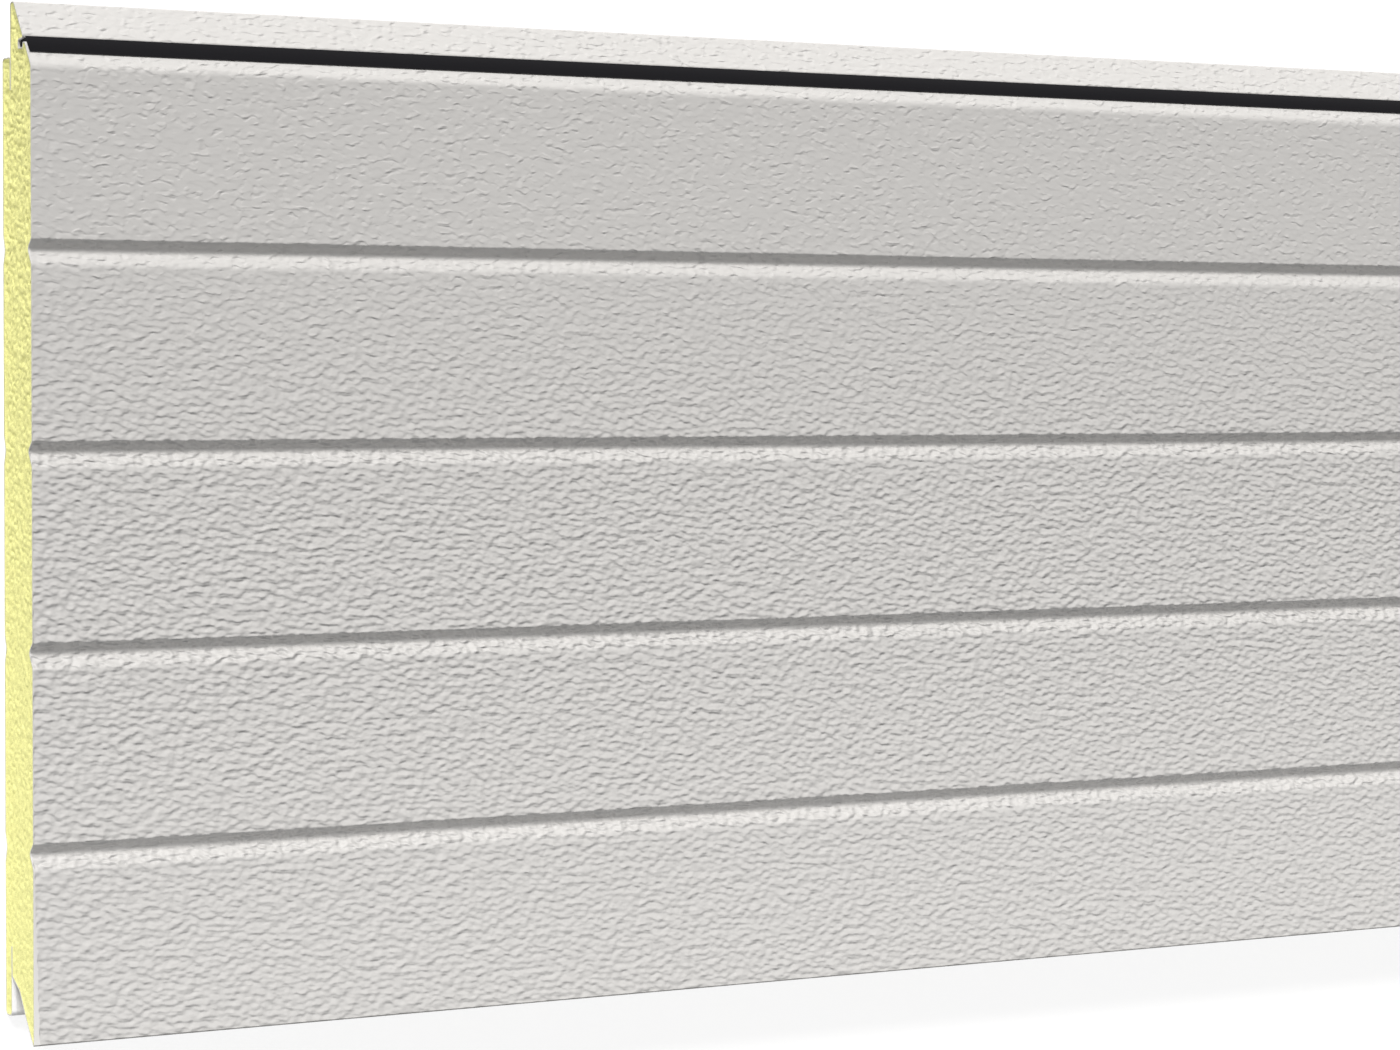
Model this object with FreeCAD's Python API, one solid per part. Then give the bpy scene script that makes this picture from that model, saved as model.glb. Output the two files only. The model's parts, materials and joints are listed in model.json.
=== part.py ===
# Insulated sandwich panel for a sectional door, lying on its inner skin.
#
# A foam core is bonded between two roll-formed steel skins.  The long edges are formed as a
# joint: a tongue along the top edge and a groove along the bottom edge, so that a stack of
# panels closes into one wall.  A black rubber seal is pressed into a slot in the tongue edge.
# The outer skin has a row of V grooves along the panel, and the inner skin a shallower row
# behind them.
#
# Row frame: X runs along the panel, +Y points from the groove edge to the tongue edge, and +Z
# from the inner skin to the outer skin.  The origin is the middle of the bounding box's base.
# Sections are drawn in the panel's own height (measured up from the joint line) and depth
# (measured out from the inner skin's flat face), in millimetres.
import FreeCAD, Part
import math
import os

# ---- Driving dimensions ---------------------------------------------------------------------
length = 2500.0            # cut length of the panel
cover_height = 500.0       # from one joint line to the next
thickness = 40.0           # over both flat faces
skin = 0.6                 # steel sheet with its coating
bend = 0.8                 # inside radius of a tight bend

rib_pitch = 100.0          # from one V groove to the next, starting at the joint line
rib_margin = 30.0          # flat face kept between the last groove and the bevel
face_groove_depth = 5.0    # where the two facets would meet
face_groove_run_up = 5.0   # height of the steep upper facet
face_groove_run_down = 7.5 # height of the gentle lower facet
face_groove_bend = 2.2     # inside radius at the bottom of the groove
face_groove_brow = 5.0     # inside radius where the gentle facet meets the face
back_groove_depth = 2.4    # where its two facets would meet
back_groove_run = 7.5      # height of each facet
back_groove_bend = 4.0     # inside radius of each of its bends

slope_angle = 36.0         # of the bevel and the tongue's front, from the face
bevel_drop = 14.7          # bevel's foot, below the joint line
nose_drop = 2.7            # nose's top, below the joint line
nose_width = 3.0           # across the top of the nose
nose_bend = 0.9            # inside radius of the two bends on the nose
slot_width = 5.9           # seal's slot, between the nose and the tongue
slot_floor_drop = 5.2      # slot's floor, below the joint line
slot_back_drop = 1.4       # top of the slot's back wall, below the joint line
tongue_root_drop = 0.7     # tongue's front corner, below the joint line
tongue_height = 18.3       # tongue's top, above the joint line
tongue_tip_width = 5.0     # across the tongue's top
tongue_tip_bend = 1.6      # inside radius of the two bends on the tongue's top
step_drop = 9.0            # shoulder behind the tongue, below the joint line
step_bend = 1.9            # inside radius at the shoulder's outer corner
top_leg = 16.5             # length that the two skins overlap below the shoulder

lip_drop = 2.6             # where the front lip's two sides would meet, below the joint line
lip_bend = 0.3             # inside radius of the fold along the front lip
lip_flare = 13.6           # height of the flared part of the groove's front wall
joint_clearance = 6.2      # groove's front wall, clear of the next panel's tongue
ceiling_clearance = 6.0    # groove's ceiling over the next tongue, at the front wall
ceiling_rise = 6.0         # ceiling's climb from the front wall to the back lip
groove_bend = 3.0          # inside radius of the bends inside the groove
back_lip_clearance = 2.2   # back lip, clear of the next panel's tongue
back_lip_rise = 9.7        # back lip's edge, above the joint line
back_lip_bend = 2.4        # inside radius of the back lip's two bends
bottom_leg = 15.0          # length that the two skins overlap above the groove

seal_lift = 0.1            # seal's upper edge, above the joint line
seal_upper_edge = 0.3      # its thickness there
seal_drop = 8.1            # seal's lower edge, below the joint line
seal_lower_edge = 0.7      # its thickness there
seal_undercut = 1.8        # height of the slant under the seal's lower edge
seal_crown = 0.7           # how far the seal bulges between its edges
seal_setback = 1.2         # seal's ends, short of the panel's ends

# ---- Places that follow from them ------------------------------------------------------------
slope = math.tan(math.radians(slope_angle))
bevel_foot = cover_height - bevel_drop
tongue_top = cover_height + tongue_height


def slope_depth(height):
    """Depth of the slanted plane that the bevel, the nose and the tongue's front share."""
    return thickness - (height - bevel_foot) * slope


nose_top = cover_height - nose_drop
nose_front = slope_depth(nose_top)
slot_front = nose_front - nose_width
slot_back = slot_front - slot_width
slot_floor = cover_height - slot_floor_drop
tongue_root = cover_height - tongue_root_drop
tongue_back = slope_depth(tongue_top) - tongue_tip_width
step_height = cover_height - step_drop
back_lip = tongue_back - back_lip_clearance
ceiling_front = tongue_height + ceiling_clearance
ceiling_back = ceiling_front + ceiling_rise
flare_top = lip_flare - lip_drop


def wall_depth(height):
    """Depth of the groove's front wall, parallel to the next panel's tongue."""
    off_the_slope = joint_clearance / math.cos(math.radians(slope_angle))
    return slope_depth(cover_height + height) + off_the_slope


# ---- Drawing bent sheet ----------------------------------------------------------------------
def in_section(height, depth):
    """A point of the section, at the given height and depth."""
    return FreeCAD.Vector(0, height, depth)


def rounded_run(corners, offset=0.0):
    """Edges of a line with rounded corners, moved by offset to its right.

    Right and left are meant with height drawn upwards and depth to the right.  A corner is
    (height, depth, inside radius).  The line is the outer surface of a bent sheet whose
    material lies to the right, so the inside radius belongs to the line itself at a left turn
    and to the sheet's other surface at a right turn.  A radius never outgrows its two runs.
    """
    points = [in_section(height, depth) for height, depth, _ in corners]
    runs = [b - a for a, b in zip(points, points[1:])]
    edges = []
    start = points[0]
    for i, run in enumerate(runs):
        ahead = FreeCAD.Vector(run).normalize()
        right = FreeCAD.Vector(0, -ahead.z, ahead.y)
        if i == len(runs) - 1:
            edges.append(Part.LineSegment(start + right * offset, points[-1] + right * offset))
            break
        following = FreeCAD.Vector(runs[i + 1]).normalize()
        turn = ahead.getAngle(following)
        turns_right = following.dot(right) > 0
        room = 0.49 * min(run.Length, runs[i + 1].Length) / math.tan(turn / 2)
        radius = min(corners[i + 1][2] + (skin if turns_right else 0.0), room)
        inward = right if turns_right else -right
        leave = points[i + 1] - ahead * (radius * math.tan(turn / 2))
        resume = points[i + 1] + following * (radius * math.tan(turn / 2))
        centre = leave + inward * radius
        own_radius = radius - offset if turns_right else radius + offset
        to_corner = (points[i + 1] - centre).normalize()
        to_leave = (leave - centre).normalize()
        to_resume = (resume - centre).normalize()
        edges.append(Part.LineSegment(start + right * offset, leave + right * offset))
        edges.append(Part.Arc(centre + to_leave * own_radius, centre + to_corner * own_radius,
                              centre + to_resume * own_radius))
        start = resume
    return edges


def closed_face(edges):
    """A flat face inside edges that follow one another, with the gaps closed by straight lines."""
    shapes = []
    for edge, following in zip(edges, edges[1:] + edges[:1]):
        shapes.append(edge.toShape())
        if edge.EndPoint.distanceToPoint(following.StartPoint) > 1e-6:
            shapes.append(Part.LineSegment(edge.EndPoint, following.StartPoint).toShape())
    return Part.Face(Part.Wire(shapes))


def turned_round(edges):
    """The same edges, followed from the last to the first."""
    backwards = []
    for edge in reversed(edges):
        if isinstance(edge, Part.LineSegment):
            backwards.append(Part.LineSegment(edge.EndPoint, edge.StartPoint))
        else:
            middle = edge.value((edge.FirstParameter + edge.LastParameter) / 2)
            backwards.append(Part.Arc(edge.EndPoint, middle, edge.StartPoint))
    return backwards


def along_panel(face, setback=0.0):
    """The section made a solid along the panel, short of both ends by the setback."""
    own_length = length - 2 * setback
    solid = face.extrude(FreeCAD.Vector(own_length, 0, 0))
    solid.translate(FreeCAD.Vector(-own_length / 2, 0, 0))
    return solid


# ---- The lines of the two skins --------------------------------------------------------------
def groove_heights():
    """Height of each V groove's upper edge, from the top groove down."""
    count = int((bevel_foot - rib_margin) // rib_pitch)
    return [rib_pitch * n for n in range(count, 0, -1)]


def seal_seat():
    """Corners from the tongue's front, round the slot and over the nose, to the bevel."""
    return [
        (tongue_root, slope_depth(tongue_root), bend),
        (cover_height - slot_back_drop, slot_back, bend),
        (slot_floor, slot_back, bend),
        (slot_floor, slot_front, bend),
        (nose_top, slot_front, nose_bend),
        (nose_top, nose_front, nose_bend),
    ]


def outer_skin_line():
    """The weather side, from the leg behind the tongue to the leg above the groove."""
    line = [
        (step_height - top_leg, tongue_back, 0),
        (tongue_top, tongue_back, tongue_tip_bend),
        (tongue_top, slope_depth(tongue_top), tongue_tip_bend),
        *seal_seat(),
        (bevel_foot, thickness, face_groove_brow),
    ]
    for top in groove_heights():
        valley = top - face_groove_run_up
        line += [
            (top, thickness, bend),
            (valley, thickness - face_groove_depth, face_groove_bend),
            (valley - face_groove_run_down, thickness, face_groove_brow),
        ]
    line += [
        (-lip_drop, thickness, lip_bend),
        (flare_top, wall_depth(flare_top), groove_bend),
        (ceiling_front, wall_depth(ceiling_front), groove_bend),
        (ceiling_back, back_lip, bend),
        (ceiling_back + bottom_leg, back_lip, 0),
    ]
    return line


def inner_skin_line():
    """The room side, from the leg above the groove to the leg behind the tongue."""
    line = [
        (ceiling_back + bottom_leg, back_lip, 0),
        (back_lip_rise, back_lip, back_lip_bend),
        (back_lip_rise, 0, back_lip_bend),
    ]
    for top in reversed(groove_heights()):
        valley = top - face_groove_run_up
        line += [
            (valley - back_groove_run, 0, back_groove_bend),
            (valley, back_groove_depth, back_groove_bend),
            (valley + back_groove_run, 0, back_groove_bend),
        ]
    line += [
        (step_height, 0, step_bend),
        (step_height, tongue_back, bend),
        (step_height - top_leg, tongue_back, 0),
    ]
    return line


# ---- The four pieces -------------------------------------------------------------------------
def bent_sheet(line):
    """A skin: the sheet between its outer surface and the same line one thickness further in."""
    inside = turned_round(rounded_run(line, skin))
    return along_panel(closed_face(rounded_run(line) + inside))


def foam_core():
    """Everything between the two skins, up to the ends of their hidden legs."""
    inside = rounded_run(outer_skin_line(), skin) + rounded_run(inner_skin_line(), skin)
    return along_panel(closed_face(inside))


def joint_seal():
    """The rubber that fills the slot and covers the nose, with a crowned outer face."""
    upper = cover_height + seal_lift
    lower = cover_height - seal_drop
    seat_end = lower + seal_undercut
    out = FreeCAD.Vector(0, math.sin(math.radians(slope_angle)),
                         math.cos(math.radians(slope_angle)))
    seat = [(upper, slope_depth(upper), 0), *seal_seat(), (seat_end, slope_depth(seat_end), 0)]
    upper_edge = in_section(upper, slope_depth(upper)) + out * seal_upper_edge
    lower_edge = in_section(lower, slope_depth(lower)) + out * seal_lower_edge
    crown = (upper_edge + lower_edge) * 0.5 + out * seal_crown
    face = closed_face(rounded_run(seat) + [Part.Arc(lower_edge, crown, upper_edge)])
    return along_panel(face, seal_setback)


pieces = {
    "outer_skin": bent_sheet(outer_skin_line()),
    "inner_skin": bent_sheet(inner_skin_line()),
    "foam_core": foam_core(),
    "joint_seal": joint_seal(),
}

skin_box = pieces["outer_skin"].BoundBox
to_middle = FreeCAD.Vector(0, -(skin_box.YMin + skin_box.YMax) / 2, 0)

os.makedirs("parts", exist_ok=True)
for name, piece in pieces.items():
    piece.translate(to_middle)
    if not piece.isValid():
        raise RuntimeError(name + " is not a valid solid")
    piece.exportStep(f"parts/{name}.step")
    box = piece.BoundBox
    print(f"{name}: {piece.Volume / 1e6:.3f} litres, Y {box.YMin:.2f} to {box.YMax:.2f}, "
          f"Z {box.ZMin:.2f} to {box.ZMax:.2f}")
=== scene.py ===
# %% [markdown]
# # An insulated sandwich panel, lying on its inner skin
#
# The panel is a slab of yellow rigid foam between two embossed and painted steel skins. Its long
# edges are a tongue and a groove, so that panels stack into one door, and a black rubber seal sits
# at the foot of the tongue. The two short ends are sawn, so the foam shows there.
#
# The construction is already solid and in place: it comes in as a frame that is never moved. This lesson
# adds what the solids lack, which is the torn surface of the sawn foam, the grain of the skins, the paint,
# the rubber, the light and the camera. We start by loading the frame.

# %% Load the frame
import json
import math

import bpy
import numpy as np
from mathutils import Matrix, Vector
from mathutils.geometry import delaunay_2d_cdt


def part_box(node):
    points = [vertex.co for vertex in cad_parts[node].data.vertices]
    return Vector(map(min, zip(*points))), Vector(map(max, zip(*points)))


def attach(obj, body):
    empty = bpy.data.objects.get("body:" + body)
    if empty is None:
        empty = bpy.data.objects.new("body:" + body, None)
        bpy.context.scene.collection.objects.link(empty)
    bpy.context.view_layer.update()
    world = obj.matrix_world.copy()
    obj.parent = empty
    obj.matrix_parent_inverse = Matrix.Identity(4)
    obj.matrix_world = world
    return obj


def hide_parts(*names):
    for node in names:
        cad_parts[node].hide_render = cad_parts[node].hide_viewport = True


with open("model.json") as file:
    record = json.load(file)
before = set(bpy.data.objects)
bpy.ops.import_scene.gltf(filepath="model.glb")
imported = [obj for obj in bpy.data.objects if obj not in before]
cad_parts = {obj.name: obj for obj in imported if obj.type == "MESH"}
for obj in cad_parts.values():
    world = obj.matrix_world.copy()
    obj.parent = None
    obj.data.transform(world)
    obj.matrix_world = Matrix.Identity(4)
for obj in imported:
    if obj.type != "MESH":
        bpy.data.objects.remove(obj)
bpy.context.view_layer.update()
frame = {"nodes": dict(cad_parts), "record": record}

# %% [markdown]
# ## The places everything else is measured from
#
# A door panel is set out from its joint lines: the line where its tongue starts, and the line
# 500 mm lower where the next panel's tongue starts. The record states both as mounts, so we read
# them from there. Bands, lights and camera then hang on these few places and stay right if the
# panel's size changes.

# %% Read the joint lines, the ends and the face
mount_places = {mount["name"]: mount["pos_m"] for mount in frame["record"]["mounts"]}
tongue_line = mount_places["tongue_edge"][1]
groove_line = mount_places["groove_edge"][1]
near_end = mount_places["left_cut_end"][0]
far_end = mount_places["right_cut_end"][0]
face_height = mount_places["outer_face"][2]
print("joint lines at", tongue_line, groove_line, "ends at", near_end, far_end, "face at", face_height)

# %% [markdown]
# ## Putting numbers into a mesh
#
# Every shape below is worked out as whole arrays. One small helper puts an array of points and a
# list of faces into a new mesh object, which stays at the origin so that its place is in its
# points, as a frame piece's is.

# %% A helper that makes a mesh object
def mesh_object(name, points, faces, smooth=True):
    """An object from an (n, 3) array of points and a list of faces, each a tuple of point numbers."""
    mesh = bpy.data.meshes.new(name)
    mesh.from_pydata(points.tolist(), [], [tuple(face) for face in faces])
    mesh.polygons.foreach_set("use_smooth", [smooth] * len(mesh.polygons))
    mesh.update()
    made = bpy.data.objects.new(name, mesh)
    bpy.context.scene.collection.objects.link(made)
    print(name, "has", len(mesh.vertices), "points and", len(mesh.polygons), "faces")
    return made

# %% [markdown]
# ## The outline of the foam
#
# Where the panel is sawn through, the foam's outline is the inside of the two skins, with the
# grooves, the nose and the tongue. We could draw it again, but the frame's foam solid already has
# it exactly. Its end face is a set of flat triangles, and an edge that only one of those triangles
# has is an edge of the outline.

# %% Read the outline from the frame's foam solid
on_end_within = 1e-6      # metres: a triangle this near the end plane is part of the end face
same_point_digits = 7     # points are the same if they agree to this many digits, in metres

def outer_edges(triangles, count):
    """The edges that only one triangle has, in its turning order, for triangles over count points."""
    sides = np.concatenate([triangles[:, [0, 1]], triangles[:, [1, 2]], triangles[:, [2, 0]]])
    forward = sides[:, 0] * count + sides[:, 1]
    backward = sides[:, 1] * count + sides[:, 0]
    return sides[~np.isin(forward, backward)]

def end_outline(node, end):
    """The outline of a node's flat end: its (height, depth) points, and its edges as point numbers."""
    mesh = frame["nodes"][node].data
    places = np.empty(len(mesh.vertices) * 3)
    mesh.vertices.foreach_get("co", places)
    mesh.calc_loop_triangles()
    corners = np.empty(len(mesh.loop_triangles) * 3, dtype=np.int64)
    mesh.loop_triangles.foreach_get("vertices", corners)
    triangles = places.reshape(-1, 3)[corners].reshape(-1, 3, 3)
    on_end = np.abs(triangles[:, :, 0] - end).max(axis=1) < on_end_within
    flat = np.round(triangles[on_end][:, :, 1:].reshape(-1, 2), same_point_digits)
    points, number = np.unique(flat, axis=0, return_inverse=True)
    outline_edges = outer_edges(number.reshape(-1, 3), len(points))
    used, renumbered = np.unique(outline_edges, return_inverse=True)
    return points[used], renumbered.reshape(-1, 2)

foam_outline, foam_edges = end_outline("foam_core", near_end)
print("the foam's outline has", len(foam_outline), "points and", len(foam_edges), "edges")

# %% [markdown]
# ## How far a point is from the outline
#
# Two things below depend on how near a point is to the outline: whether it may be used at all, and
# how deep the tearing may go there. A straight edge makes this easy, because the nearest place on
# it is the foot of a perpendicular. All the points and edges are compared at once, in batches that
# keep the arrays small.

# %% Distance to the nearest edge
batches = 60              # the points are worked through in this many parts

def distance_to_edges(points, starts, ends):
    """For each point, the distance to the nearest edge: the foot of the perpendicular, between its ends."""
    along = ends - starts
    nearest = []
    for part in np.array_split(points, batches):
        to_point = part[:, None, :] - starts
        share = np.clip((to_point * along).sum(axis=2) / (along ** 2).sum(axis=1), 0, 1)
        nearest.append(np.linalg.norm(to_point - share[:, :, None] * along, axis=2).min(axis=1))
    return np.concatenate(nearest)

# %% [markdown]
# ## Points inside the outline
#
# The sawn foam needs many small faces to carry its bumps. We lay a grid of points over the
# section, with every other row moved half a step so that the triangles come out even-sided, and
# keep the points inside the outline. A point is inside if a line from it along the depth crosses
# the outline an odd number of times. Points almost on the outline are left out, since they would
# make needle-thin triangles.

# %% Grid points inside the outline
row_spacing = math.sin(math.radians(60))    # rows of even-sided triangles, as a share of a step
outline_gap = 0.4                           # kept free inside the outline, as a share of a step

def grid_over(low, high, step):
    """Points a step apart from low to high, in rows of which every other one is moved half a step."""
    rows = np.arange(low[0] + step / 2, high[0], step * row_spacing)
    columns = np.arange(low[1], high[1], step)
    height, depth = np.meshgrid(rows, columns, indexing="ij")
    depth = depth + step / 2 * (np.arange(len(rows)) % 2)[:, None]
    return np.column_stack([height.ravel(), depth.ravel()])

def points_inside(outline, edges, step):
    """The grid's points that lie inside the outline and clear of it by the outline's gap."""
    starts, ends = outline[edges[:, 0]], outline[edges[:, 1]]
    kept = []
    for part in np.array_split(grid_over(outline.min(axis=0), outline.max(axis=0), step), batches):
        height, depth = part[:, :1], part[:, 1:]
        straddles = (starts[:, 0] > height) != (ends[:, 0] > height)
        rise = np.where(ends[:, 0] == starts[:, 0], 1, ends[:, 0] - starts[:, 0])
        crossing = starts[:, 1] + (height - starts[:, 0]) / rise * (ends[:, 1] - starts[:, 1])
        inside = (straddles & (crossing > depth)).sum(axis=1) % 2 == 1
        kept.append(part[inside])
    kept = np.concatenate(kept)
    return kept[distance_to_edges(kept, starts, ends) > outline_gap * step]

foam_step = 0.00068
foam_points = points_inside(foam_outline, foam_edges, foam_step)
print(len(foam_points), "grid points inside the foam's outline")

# %% [markdown]
# ## Smooth random heights
#
# A saw tears rigid foam rather than cutting it clean: the surface is a field of lumps 2 to 3 mm
# across, drawn out the way the blade ran, with crevices and small open cells between them. A
# displacement texture could give them, but value noise written in numpy does the same and shows
# how it works: random heights on the corners of a grid, blended smoothly between the corners.

# %% Value noise over the section
noise_corners = 512       # random heights each way before the pattern repeats

def smooth_noise(across, up, cell, seed):
    """Random heights from 0 to 1 on a grid of cells, blended between corners by the curve 3t^2 - 2t^3."""
    heights = np.random.default_rng(seed).random((noise_corners, noise_corners))
    a, b = across / cell[0], up / cell[1]
    column, row = np.floor(a).astype(int), np.floor(b).astype(int)
    s, t = a - column, b - row
    s, t = s * s * (3 - 2 * s), t * t * (3 - 2 * t)

    def corner(i, j):
        return heights[(column + i) % noise_corners, (row + j) % noise_corners]

    lower = corner(0, 0) * (1 - s) + corner(1, 0) * s
    upper = corner(0, 1) * (1 - s) + corner(1, 1) * s
    return lower * (1 - t) + upper * t

# %% [markdown]
# ## The torn surface of the foam
#
# Three sizes of noise are added up: long lumps, small cells, and crevices, which are narrow lines
# along the middle heights of a third noise. The section is turned a little first, so that all of
# them lean the way the blade went. The foam is torn deepest at the tongue edge, up to about 2 mm,
# and about half as deep at the groove edge. Along the skins it is held by the steel and stays
# almost level, a tenth of a millimetre or more behind the cut, so that it never stands proud.

# %% How deep the foam is torn
saw_lean = math.radians(-12)
lump_size = (0.0018, 0.0030)        # metres across and up, as the next two
cell_size = (0.0014, 0.0012)
crevice_size = (0.0020, 0.0034)
crevice_sharpness = 3
lump_share, crevice_share, cell_share = 0.4, 0.4, 0.2
groove_edge_tearing = 0.0009        # deepest tearing at the groove edge
extra_tearing = 0.0013              # what the tongue edge has more
held_width = 0.0014                 # the tearing reaches its full depth this far from a skin
least_recess = 0.0001

def sawn_recess(height, depth, from_skin, seed):
    """How far the torn foam lies behind the cut plane, in metres.

    It is the least recess, plus the tearing at this height, times how little the skins hold the foam
    here, times a mean of lumps, crevices and cells weighted by their shares.
    """
    across = math.cos(saw_lean) * depth + math.sin(saw_lean) * height
    up = math.cos(saw_lean) * height - math.sin(saw_lean) * depth
    lumps = smooth_noise(across, up, lump_size, seed)
    cells = smooth_noise(across, up, cell_size, seed + 1)
    ridges = 1 - np.abs(2 * smooth_noise(across, up, crevice_size, seed + 2) - 1)
    crevices = ridges ** crevice_sharpness
    towards_tongue = np.clip((height - groove_line) / (tongue_line - groove_line), 0, 1)
    tearing = groove_edge_tearing + extra_tearing * towards_tongue
    held = np.clip(from_skin / held_width, 0, 1)
    mixed = lump_share * lumps + crevice_share * crevices + cell_share * cells
    return least_recess + held * tearing * mixed

# %% [markdown]
# ## The foam core
#
# The core runs the whole length of the panel, but only its two ends show. Each end is filled with triangles
# between its outline and the grid points by a Delaunay triangulation, which keeps the outline's edges and
# picks the most even triangles. The points are then pushed back by the tearing. The two ends share one
# outline, so long faces from each outline edge to the same edge at the other end close the body. It stands
# for the frame's plain foam solid, which goes on serving the physics, hidden.

# %% Fill the outline with triangles
triangles_inside = 1      # the triangulation's mode that keeps only what lies inside the outline
merge_within = 1e-9

def filled_section(outline, edges, inner):
    """The section's points and its triangles, all turning the same way, from an outline and inner points."""
    flat = [Vector(point) for point in np.concatenate([outline, inner]).tolist()]
    placed, _, found, _, _, _ = delaunay_2d_cdt(flat, edges.tolist(), [], triangles_inside, merge_within)
    section = np.array([tuple(point) for point in placed])
    triangles = np.array([face for face in found])
    ab = section[triangles[:, 1]] - section[triangles[:, 0]]
    ac = section[triangles[:, 2]] - section[triangles[:, 0]]
    turned = ab[:, 0] * ac[:, 1] - ab[:, 1] * ac[:, 0] < 0
    triangles[turned] = triangles[turned][:, ::-1]
    return section, triangles

# %% [markdown]
# ## Two sawn ends and the long faces between them
#
# The same section serves both ends, each torn by its own noise, as two cuts of a saw would be. An
# extrusion would give two identical ends, so the body is put together from its faces: the near
# end turned to face outwards, the far end as it is, and one long face for each edge of the rim.

# %% Build the foam core
near_seed, far_seed = 11, 23

def sawn_core(name, outline, edges, inner):
    """A long closed body: two triangulated ends pushed back by the tearing, and a long face per rim edge."""
    section, triangles = filled_section(outline, edges, inner)
    from_skin = distance_to_edges(section, outline[edges[:, 0]], outline[edges[:, 1]])
    ends = []
    for end, seed in ((near_end, near_seed), (far_end, far_seed)):
        recess = sawn_recess(section[:, 0], section[:, 1], from_skin, seed)
        along = np.full(len(section), end) - math.copysign(1, end) * recess
        ends.append(np.column_stack([along, section]))
    count = len(section)
    rim = outer_edges(triangles, count)
    long_faces = np.column_stack([rim[:, 0], rim[:, 1], rim[:, 1] + count, rim[:, 0] + count])
    faces = triangles[:, ::-1].tolist() + (triangles + count).tolist() + long_faces.tolist()
    return mesh_object(name, np.concatenate(ends), faces)

foam = sawn_core("sawn_foam", foam_outline, foam_edges, foam_points)
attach(foam, "root")
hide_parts("foam_core")

# %% [markdown]
# ## Small helpers for materials
#
# Each finish is a Principled surface fed by a few procedural nodes. These helpers keep the cells
# below short: one starts a material and hands back its node tree and its surface, one adds a node
# and fills in its inputs, and two more do the arithmetic. An input may be a number, a colour or
# another node's output.

# %% Helpers that start a material and add nodes
def start_material(name):
    """A new material with only a Principled surface joined to its output."""
    made = bpy.data.materials.new(name)
    made.use_nodes = True
    return made, made.node_tree, made.node_tree.nodes["Principled BSDF"]

def add_node(tree, kind, inputs=None, **settings):
    """Adds a node, sets its settings, and sets or links its inputs by name or number."""
    made = tree.nodes.new("ShaderNode" + kind)
    for key, value in settings.items():
        setattr(made, key, value)
    for key, value in (inputs or {}).items():
        if isinstance(value, bpy.types.NodeSocket):
            tree.links.new(value, made.inputs[key])
        else:
            made.inputs[key].default_value = value
    return made

def calc(tree, operation, *values, clamp=False):
    """A Math node's output, for numbers and outputs given in order."""
    return add_node(tree, "Math", dict(enumerate(values)), operation=operation, use_clamp=clamp).outputs[0]

def product(tree, first, *others):
    """The product of two or more numbers or outputs."""
    for other in others:
        first = calc(tree, "MULTIPLY", first, other)
    return first

# %% [markdown]
# ## Patterns that stay on the metal
#
# Grain and mottling have a real size, so every pattern is read from the panel's own metres,
# counted in cells of the size it needs. Image textures would need an unwrapped surface, and these
# do not. A ramp turns a place or a noise into a strength between two values.

# %% Helpers for noise, places and ramps
noise_mean = 0.5

def cells_at(tree, size, turn=0.0):
    """Object coordinates counted in cells of the given size in metres, after a turn about the Z axis."""
    here = add_node(tree, "TexCoord").outputs["Object"]
    turned = add_node(tree, "Mapping", {"Vector": here, "Rotation": (0, 0, turn)}).outputs[0]
    return add_node(tree, "Mapping", {"Vector": turned, "Scale": [1 / edge for edge in size]}).outputs[0]

def noise_at(tree, place, detail=0.0):
    """Smooth noise about one unit across, from 0 to 1 with a mean of 0.5, read at the given place."""
    inputs = {"Vector": place, "Scale": 1.0, "Detail": detail, "Roughness": 0.5}
    return add_node(tree, "TexNoise", inputs).outputs["Fac"]

def moved_up(tree, place, by, amount):
    """A place moved along Y by the amount times how far a noise is from its mean."""
    shift = product(tree, calc(tree, "SUBTRACT", by, noise_mean), amount)
    shift = add_node(tree, "CombineXYZ", {"Y": shift}).outputs[0]
    return add_node(tree, "VectorMath", {0: place, 1: shift}, operation="ADD").outputs[0]

def ramp(tree, value, start, end, at_start=0.0, at_end=1.0, curve="LINEAR"):
    """at_start where the value is start, at_end where it is end, blended between them and held beyond."""
    inputs = {"Value": value, "From Min": start, "From Max": end, "To Min": at_start, "To Max": at_end}
    return add_node(tree, "MapRange", inputs, interpolation_type=curve).outputs[0]

def split(tree, vector):
    """A vector's X, Y and Z as three outputs."""
    return add_node(tree, "SeparateXYZ", {0: vector}).outputs

# %% [markdown]
# ## The grain of the steel
#
# Before the coil is formed, a roller presses a grain into the painted steel: short wrinkles along
# the panel, about 3 mm apart, like coarse leather, with the lower side of each the steeper one. It
# is far too fine to model over more than a square metre, so it is bump.
#
# Noise drawn out along the panel gives the wrinkles. Reading the noise at a place that the noise
# itself has moved makes one side of every wrinkle steep and the other gentle, as wind does to a
# wave. A slower noise moves the whole pattern up and down so that it never looks combed. The
# wrinkles lean over furthest towards the tongue edge, where they are short and sharp.

# %% The grain's pattern
sharp_band = 0.08                         # below the tongue line, all of it sharp and faint
full_band = 0.26                          # above the groove line, all of it full
wrinkle_size = (0.0045, 0.0028, 0.0028)   # metres along, across and through the panel
wrinkle_turn = math.radians(4)
sway_size = (0.006, 0.006, 0.006)
sway_amount = 0.3                         # in wrinkles, as are the leans
sharp_lean, full_lean = 0.75, 0.24
wrinkle_detail = 0.4

def grain_fullness(tree, place):
    """0 in the sharp band by the tongue edge, 1 in the full band by the groove edge, blended between."""
    return ramp(tree, place["Y"], tongue_line - sharp_band, groove_line + full_band)

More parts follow.
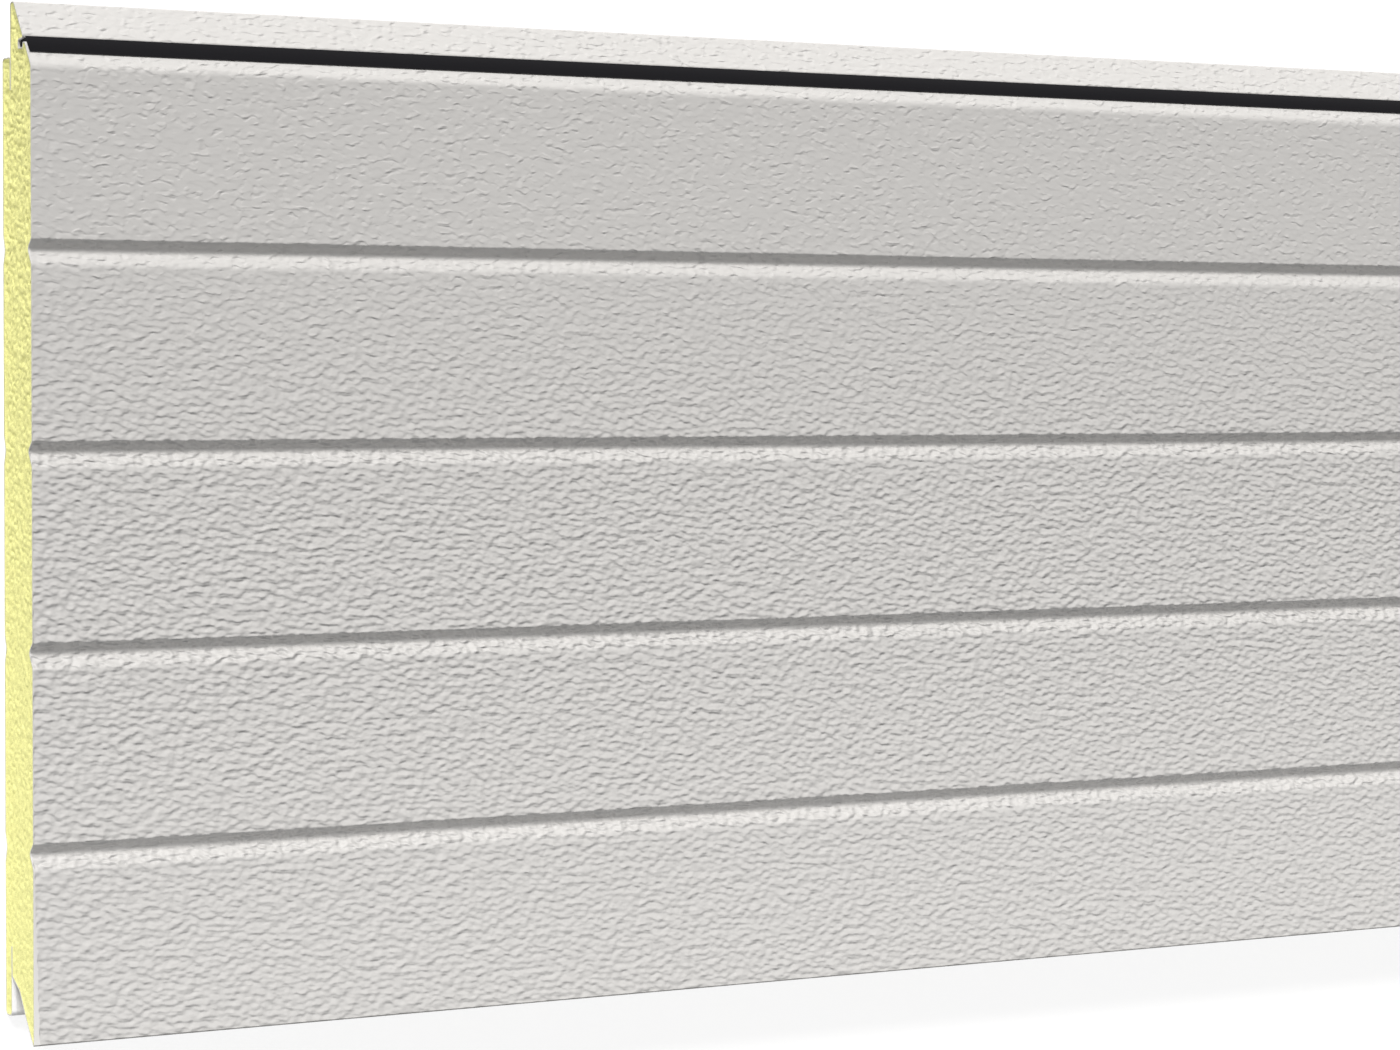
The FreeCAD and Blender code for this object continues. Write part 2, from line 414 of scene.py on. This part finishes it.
def grain_pattern(tree, fullness, shift):
    """The wrinkles' height about its mean: noise read where it has moved itself, after a fixed shift."""
    grid = cells_at(tree, wrinkle_size, wrinkle_turn)
    grid = add_node(tree, "VectorMath", {0: grid, 1: (shift, shift, 0)}, operation="ADD").outputs[0]
    swayed = moved_up(tree, grid, noise_at(tree, cells_at(tree, sway_size)), sway_amount)
    lean = ramp(tree, fullness, 0.0, 1.0, sharp_lean, full_lean)
    leaned = moved_up(tree, swayed, noise_at(tree, swayed), lean)
    return calc(tree, "SUBTRACT", noise_at(tree, leaned, wrinkle_detail), noise_mean)

# %% [markdown]
# ## How hard the roller pressed
#
# A roller does not bite evenly. Towards the tongue edge the grain fades into separate marks, with
# almost plain steel between them, and towards the groove edge it is full but a little softer. One
# noise with a steep ramp makes the marks, and ramps over the panel's height mix them with the full
# press, so the change has no visible edge.

# %% The press over the panel's height
mark_size = (0.0060, 0.0034, 0.0034)
mark_turn = math.radians(-4)
mark_noise = (0.48, 0.66)       # below the first there is no mark, and above the second a whole one
mark_press = (0.12, 0.60)
soft_band = 0.20                # above the groove line, where the press eases
soft_press = (0.66, 0.88)       # at the groove line and above the band

def roller_press(tree, place, fullness):
    """The share of the grain's full depth: marks or a full press by the fullness, times the easing."""
    marks = noise_at(tree, cells_at(tree, mark_size, mark_turn))
    marks = ramp(tree, marks, *mark_noise, *mark_press, curve="SMOOTHSTEP")
    press = add_node(tree, "Mix", {"Factor": fullness, "A": marks, "B": 1.0}).outputs["Result"]
    easing = ramp(tree, place["Y"], groove_line, groove_line + soft_band, *soft_press, curve="SMOOTHSTEP")
    return product(tree, press, easing)

# %% [markdown]
# ## Which faces of the sheet have the grain
#
# The sawn ends of the sheet are a bare cut with no grain, and the inside of the joint's groove is
# left plain. The front of the tongue and the lower side of each groove turn more squarely to the
# light, which hides relief, so the grain is doubled on sloping faces to show as it does on the
# flat ones. A face's own normal tells these apart, and it does not depend on where the camera
# stands.

# %% Sheet, slopes and the groove's inside
end_facing = 0.5                # a face whose normal has more than this along X is a sawn end
slope_from, slope_to = 0.15, 0.35    # the press rises between these shares of the normal along Y
slope_press = 2.0
under_face = 0.003              # the groove's inside lies this far under the face
groove_reach = 0.06             # and no further than this above the groove line

def sheet_and_slope(tree):
    """1 on the sheet's faces and 0 on its sawn ends, and a press that rises where a face slopes."""
    facing = split(tree, add_node(tree, "NewGeometry").outputs["True Normal"])
    on_sheet = calc(tree, "LESS_THAN", calc(tree, "ABSOLUTE", facing["X"]), end_facing)
    on_slope = ramp(tree, calc(tree, "ABSOLUTE", facing["Y"]), slope_from, slope_to, 1.0, slope_press)
    return on_sheet, on_slope

def outside_groove(tree, place):
    """0 inside the joint's groove and 1 elsewhere."""
    below = calc(tree, "LESS_THAN", place["Z"], face_height - under_face)
    near = calc(tree, "LESS_THAN", place["Y"], groove_line + groove_reach)
    return calc(tree, "SUBTRACT", 1.0, product(tree, below, near))

# %% [markdown]
# ## The eased strip at the sawn end, and the rolled lip
#
# Beside the cut, close to the groove edge, the face has a narrow strip without grain that falls away a
# little. Its paint is made paler there, a painted highlight for the light that the strip catches at the cut
# end. It is widest at the groove line and gone 100 mm above it. The frame's solid is cut square there, and
# the fall is only about a millimetre, so the bump that carries the grain carries it too. Along the groove
# edge itself, the solid already bends over into the lip.
# The bump deepens that bend over the same width, so that it turns from the light sooner.

# %% The strip and the roll
strip_width = 0.0027            # at the groove line
strip_reach = 0.10
grain_return = 1500.0           # the grain is back after one part in this many of a metre
strip_fall = 0.45               # drop for each metre towards the cut
roll_width = 0.0009
roll_curve = 1300.0

def eased_strip(tree, place):
    """The strip's width here, the distance past it from the cut, and 0 on it rising to 1 beyond it."""
    width = ramp(tree, place["Y"], groove_line, groove_line + strip_reach, strip_width, 0.0)
    past = calc(tree, "SUBTRACT", calc(tree, "SUBTRACT", place["X"], near_end), width)
    return width, past, calc(tree, "MULTIPLY", past, grain_return, clamp=True)

def rolled_lip(tree, place, edge):
    """The drop along a rolled edge: the distance into the roll, squared, times the roll's curve."""
    into_roll = calc(tree, "MAXIMUM", calc(tree, "SUBTRACT", edge + roll_width, place["Y"]), 0.0)
    return product(tree, into_roll, into_roll, roll_curve)

# %% [markdown]
# ## Embossed and painted steel
#
# The skins are painted before they are embossed, so the paint is one satin colour over all the relief,
# except on the eased strip by the cut, where it is made paler as a painted highlight. It is a warm, pale
# grey outside and white inside. The cut edge of the sheet shows dull steel and paint in one thin line. A
# clear coat would be too glossy for this finish, so roughness and a low specular level do it.

# %% The paint's colour, with a painted highlight on the eased strip
# the eased strip's paint is made this much paler, a painted highlight
strip_highlight_by = 1.22
brightest_highlight = 0.95                   # no colour of the strip is brighter than this
cut_edge_colour = (0.56, 0.555, 0.52)

def paint_colour(tree, colour, on_sheet, width, beyond):
    """The paint, made paler on the eased strip as a painted highlight, by how wide the strip is here, and
    dull on the cut edge.
    """
    # painted highlight: the strip's paint is made paler, more where the strip is wider
    highlight_share = product(tree, calc(tree, "SUBTRACT", 1.0, beyond), calc(tree, "DIVIDE", width, strip_width))
    highlight_colour = [min(strip_highlight_by * share, brightest_highlight) for share in colour]
    paint = add_node(tree, "MixRGB", {"Fac": highlight_share, "Color1": (*colour, 1), "Color2": (*highlight_colour, 1)})
    inputs = {"Fac": on_sheet, "Color1": (*cut_edge_colour, 1), "Color2": paint.outputs[0]}
    return add_node(tree, "MixRGB", inputs).outputs[0]

# %% [markdown]
# ## Putting the skins' finish together
#
# The relief is one height in metres: the grain, less the fall of the strip and the lip. Adding
# heights before a single Bump node keeps them at true scale to each other, where a chain of Bump
# nodes would need a strength tuned for each. The two skins share the function and differ in
# colour, depth and the stretch of grain they show.

# %% The skins' materials
outer_colour, outer_depth = (0.612, 0.602, 0.590), 0.0021
inner_colour, inner_depth = (0.90, 0.90, 0.89), 0.0022
inner_shift = 40.0              # in wrinkles, so that the two skins do not match

def embossed_paint(name, colour, depth, shift, rolled_edge):
    """Satin paint over embossed steel, with a grain of the given depth in metres and a rolled lower edge."""
    made, tree, surface = start_material(name)
    place = split(tree, add_node(tree, "TexCoord").outputs["Object"])
    fullness = grain_fullness(tree, place)
    on_sheet, on_slope = sheet_and_slope(tree)
    width, past, beyond = eased_strip(tree, place)
    press = roller_press(tree, place, fullness)
    press = product(tree, press, beyond, on_slope, outside_groove(tree, place))
    grain = product(tree, grain_pattern(tree, fullness, shift), press, on_sheet, depth)
    fall = product(tree, calc(tree, "MINIMUM", past, 0.0), strip_fall, on_sheet)
    roll = product(tree, rolled_lip(tree, place, rolled_edge), on_sheet)
    height = calc(tree, "SUBTRACT", calc(tree, "ADD", grain, fall), roll)
    bump = add_node(tree, "Bump", {"Height": height, "Strength": 1.0, "Distance": 1.0})
    tree.links.new(bump.outputs["Normal"], surface.inputs["Normal"])
    tree.links.new(paint_colour(tree, colour, on_sheet, width, beyond), surface.inputs["Base Color"])
    surface.inputs["Roughness"].default_value = 0.5
    surface.inputs["Specular IOR Level"].default_value = 0.3
    return made

outer_lip, inner_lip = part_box("outer_skin")[0][1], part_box("inner_skin")[0][1]
outer_paint = embossed_paint("outer_skin_paint", outer_colour, outer_depth, 0.0, outer_lip)
inner_paint = embossed_paint("inner_skin_paint", inner_colour, inner_depth, inner_shift, inner_lip)
for node, paint in (("outer_skin", outer_paint), ("inner_skin", inner_paint)):
    frame["nodes"][node].material_slots[0].material = paint
    print(node, "is finished with", paint.name)

# %% [markdown]
# ## Foam and rubber
#
# The foam's shape is modelled, so its material only needs the pale yellow, a little mottling where
# cells are open, and no gloss. The seal is matt black rubber with a trace of grain from its die.
# Both patterns are plain noise, fine and even for the foam and drawn out along the seal.

# %% The foam's material
foam_cell = 0.0007
mottle_range = (0.3, 0.7)
foam_dark, foam_light = (0.80, 0.78, 0.33, 1), (0.93, 0.92, 0.41, 1)
foam_cell_depth = 0.0002

def foam_material():
    """Pale yellow foam, mottled by fine noise, with tiny cells as bump."""
    made, tree, surface = start_material("rigid_foam")
    cells = noise_at(tree, cells_at(tree, (foam_cell, foam_cell, foam_cell)), 2.0)
    mottle = add_node(tree, "ValToRGB", {"Fac": cells})
    for stop, at, shade in zip(mottle.color_ramp.elements, mottle_range, (foam_dark, foam_light)):
        stop.position = at
        stop.color = shade
    tree.links.new(mottle.outputs["Color"], surface.inputs["Base Color"])
    bump = add_node(tree, "Bump", {"Height": cells, "Strength": 1.0, "Distance": foam_cell_depth})
    tree.links.new(bump.outputs["Normal"], surface.inputs["Normal"])
    surface.inputs["Roughness"].default_value = 0.9
    surface.inputs["Specular IOR Level"].default_value = 0.1
    return made

foam.data.materials.append(foam_material())
print("sawn_foam is finished with", foam.data.materials[0].name)

# %% [markdown]
# ## The seal's rubber
#
# A rubber profile is drawn through a die, which leaves fine lines along it. They are hardly deeper
# than dust, so weak bump is enough, and almost all of the look is in the near-black colour and the
# low gloss.

# %% The seal's material
die_line_size = (0.05, 0.0004, 0.0004)
die_line_depth = 0.0001
rubber_black = (0.0035, 0.0032, 0.0045, 1)

def rubber_material():
    """Matt black rubber, with fine lines along its length."""
    made, tree, surface = start_material("seal_rubber")
    lines = noise_at(tree, cells_at(tree, die_line_size), 1.0)
    bump = add_node(tree, "Bump", {"Height": lines, "Strength": 0.3, "Distance": die_line_depth})
    tree.links.new(bump.outputs["Normal"], surface.inputs["Normal"])
    surface.inputs["Base Color"].default_value = rubber_black
    surface.inputs["Roughness"].default_value = 0.7
    surface.inputs["Specular IOR Level"].default_value = 0.1
    return made

frame["nodes"]["joint_seal"].material_slots[0].material = rubber_material()
print("joint_seal is finished with", frame["nodes"]["joint_seal"].material_slots[0].material.name)

# %% [markdown]
# ## The floor
#
# The panel lies on a plain white floor. A floor lit to pure white would throw too much light back
# at the panel, so what is seen and what gives light are kept apart: to the camera and in
# reflections the floor glows nearly white, with a share of lit surface that keeps the panel's soft
# shadow, and to all other rays it is a pale grey surface.

# %% The floor
floor_reach = 8.0
bounce_grey, lit_grey = (0.8, 0.8, 0.8, 1), (0.55, 0.55, 0.55, 1)
floor_glow = 0.72
white = (1, 1, 1, 1)

def seen_directly(tree):
    """1 for rays from the camera, off a glossy surface or through a clear one, and 0 for the rest."""
    path = add_node(tree, "LightPath").outputs
    mirrored = calc(tree, "MAXIMUM", path["Is Glossy Ray"], path["Is Transmission Ray"])
    return calc(tree, "MAXIMUM", path["Is Camera Ray"], mirrored)

def floor_material():
    """White for direct looks, with a share of lit surface, and pale grey as a bounce surface."""
    made, tree, surface = start_material("studio_floor")
    tree.nodes.remove(surface)
    bounce = add_node(tree, "BsdfDiffuse", {"Color": bounce_grey}).outputs[0]
    lit = add_node(tree, "BsdfDiffuse", {"Color": lit_grey}).outputs[0]
    glow = add_node(tree, "Emission", {"Color": white, "Strength": floor_glow}).outputs[0]
    shown = add_node(tree, "AddShader", {0: lit, 1: glow}).outputs[0]
    mixed = add_node(tree, "MixShader", {"Fac": seen_directly(tree), 1: bounce, 2: shown}).outputs[0]
    tree.links.new(mixed, tree.nodes["Material Output"].inputs["Surface"])
    return made

floor_corners = np.array([[-1, -1, 0], [1, -1, 0], [1, 1, 0], [-1, 1, 0]]) * floor_reach
floor = mesh_object("studio_floor", floor_corners, [(0, 1, 2, 3)], smooth=False)
floor.data.materials.append(floor_material())

# %% [markdown]
# ## The sky
#
# An even sky fills the shadows, as the walls of a white studio do. It is weak as a light, so that
# the relief stays clear, and white where it is seen, so that the panel stands on a clean ground.

# %% The sky
sky_strength = 0.24

def white_sky(strength):
    """A world that lights evenly at the given strength and looks white."""
    world = bpy.data.worlds.new("studio_sky")
    world.use_nodes = True
    tree = world.node_tree
    tree.nodes.clear()
    light = add_node(tree, "Background", {"Color": white, "Strength": strength}).outputs[0]
    shown = add_node(tree, "Background", {"Color": white, "Strength": 1.0}).outputs[0]
    mixed = add_node(tree, "MixShader", {"Fac": seen_directly(tree), 1: light, 2: shown}).outputs[0]
    output = add_node(tree, "OutputWorld")
    tree.links.new(mixed, output.inputs["Surface"])
    bpy.context.scene.world = world
    print("the sky lights at strength", strength)

white_sky(sky_strength)

# %% [markdown]
# ## The main light
#
# The main light comes over the tongue edge at about 33 degrees above the face, low enough to bring
# out the grain and to leave the upper side of each groove dark. A large lamp near the panel would
# fall off along its length. A broad sun is as bright everywhere, and its shadows are still soft.

# %% The main light
main_from = (-0.31, 0.80, 0.565)
main_strength, main_spread = 3.56, 25
main_colour = (1.0, 0.985, 0.965)

def soft_sun(name, towards, strength, spread_degrees, colour):
    """A sun that shines from the given direction, as wide in the sky as its spread."""
    lamp = bpy.data.lights.new(name, "SUN")
    lamp.energy = strength
    lamp.angle = math.radians(spread_degrees)
    lamp.color = colour
    made = bpy.data.objects.new(name, lamp)
    made.rotation_euler = Vector(towards).to_track_quat("Z", "Y").to_euler()
    bpy.context.scene.collection.objects.link(made)
    print(name, "has strength", strength)

soft_sun("main_light", main_from, main_strength, main_spread, main_colour)

# %% [markdown]
# ## Two weak fills
#
# The lip along the groove edge faces away from the main light. A long strip of light close over
# that edge lifts the lip and the lowest band a little, and because it is near, it fades before the
# next bands. A small one beyond the sawn end reaches the foam and the groove there, which a light
# from above cannot.

# %% The fills
def long_light(name, place, aim, length, width, power):
    """A rectangle of light, long side along the panel, at a place and aimed at another."""
    lamp = bpy.data.lights.new(name, "AREA")
    lamp.shape = "RECTANGLE"
    lamp.size, lamp.size_y = length, width
    lamp.energy = power
    made = bpy.data.objects.new(name, lamp)
    made.location = place
    made.rotation_euler = (Vector(place) - Vector(aim)).to_track_quat("Z", "Y").to_euler()
    bpy.context.scene.collection.objects.link(made)
    print(name, "has", power, "watts")

long_light("lower_fill", place=(0, groove_line - 0.02, 0.28), aim=(0, groove_line + 0.01, 0.04),
           length=4.0, width=0.14, power=1.15)
long_light("end_fill", place=(near_end - 0.45, groove_line - 0.02, 0.03),
           aim=(near_end, groove_line + 0.1, 0.02), length=0.5, width=0.08, power=0.30)

# %% [markdown]
# ## Camera
#
# The camera looks down on the panel from the left, along its length, so that the sawn end, the
# whole height of the face and about a third of the length show. A long lens keeps the bands nearly
# parallel. Its place is given from the near end, the groove's joint line and the floor.

# %% The camera
before_end, above_groove_line, above_floor = 0.6905, 0.3379, 1.8885
camera_turns = ((-30.11, "Y"), (-2.30, "X"), (0.19, "Z"))
camera_lens, camera_sensor = 101.3, 36

camera_turn = Matrix.Identity(4)
for degrees, axis in camera_turns:
    camera_turn = camera_turn @ Matrix.Rotation(math.radians(degrees), 4, axis)
camera_place = Vector((near_end - before_end, groove_line + above_groove_line, above_floor))
lens = bpy.data.cameras.new("panel_camera")
lens.sensor_width = camera_sensor
lens.lens = camera_lens
camera = bpy.data.objects.new("panel_camera", lens)
camera.matrix_world = Matrix.Translation(camera_place) @ camera_turn
bpy.context.scene.collection.objects.link(camera)
bpy.context.scene.camera = camera
print("the camera stands at", [round(value, 3) for value in camera_place])

# %% [markdown]
# ## Finish
#
# Colours are shown as they are written.

# %% View settings
bpy.context.scene.view_settings.view_transform = "Standard"
